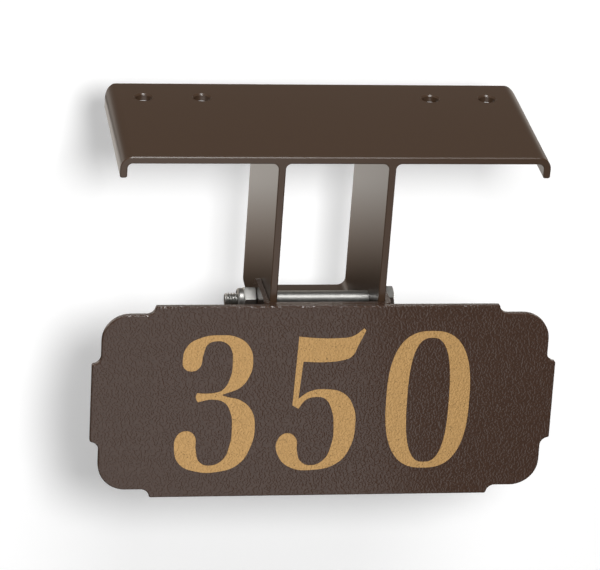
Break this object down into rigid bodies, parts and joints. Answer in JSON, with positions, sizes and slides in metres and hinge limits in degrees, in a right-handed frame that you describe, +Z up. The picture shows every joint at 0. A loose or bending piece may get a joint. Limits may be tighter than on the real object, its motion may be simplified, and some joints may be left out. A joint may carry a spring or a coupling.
{
  "type": "hinged house number plaque",
  "caption": "House number plaque with shaped corners, hung by a strap bracket on a clamped pivot bolt across the legs of a bronze-coated extruded hanger that is screwed up from its top plate.",
  "frame": {"origin": "centre of the hanger's upper face, the face that is screwed up against the soffit or shelf it hangs from", "axes": "+Z up, out of the upper face; +X to the right along the hanger's and the plaque's length as the number is read; +Y to the back, away from the reader"},
  "size_m": [0.2094, 0.0972, 0.1612],
  "materials": {
    "bronze_coat": "satin",
    "textured_bronze_coat": "satin",
    "zinc_steel": "satin",
    "nylon": "matte"
  },
  "bodies": {
    "hanger": {"hanger": "bronze_coat", "pivot_bolt": "zinc_steel", "spacer_tube": "zinc_steel", "head_washer": "zinc_steel", "lock_nut": "zinc_steel", "nylon_ring": "nylon"},
    "plaque": {"number_plate": "textured_bronze_coat", "plaque_bracket": "textured_bronze_coat"}
  },
  "joints": [
    {"name": "plaque_swing", "type": "hinge", "parent": "hanger", "child": "plaque", "pos_m": [0, -0.01625, -0.0814], "axis": [1, 0, 0], "range_deg": [-3.5, 13.5]}
  ]
}
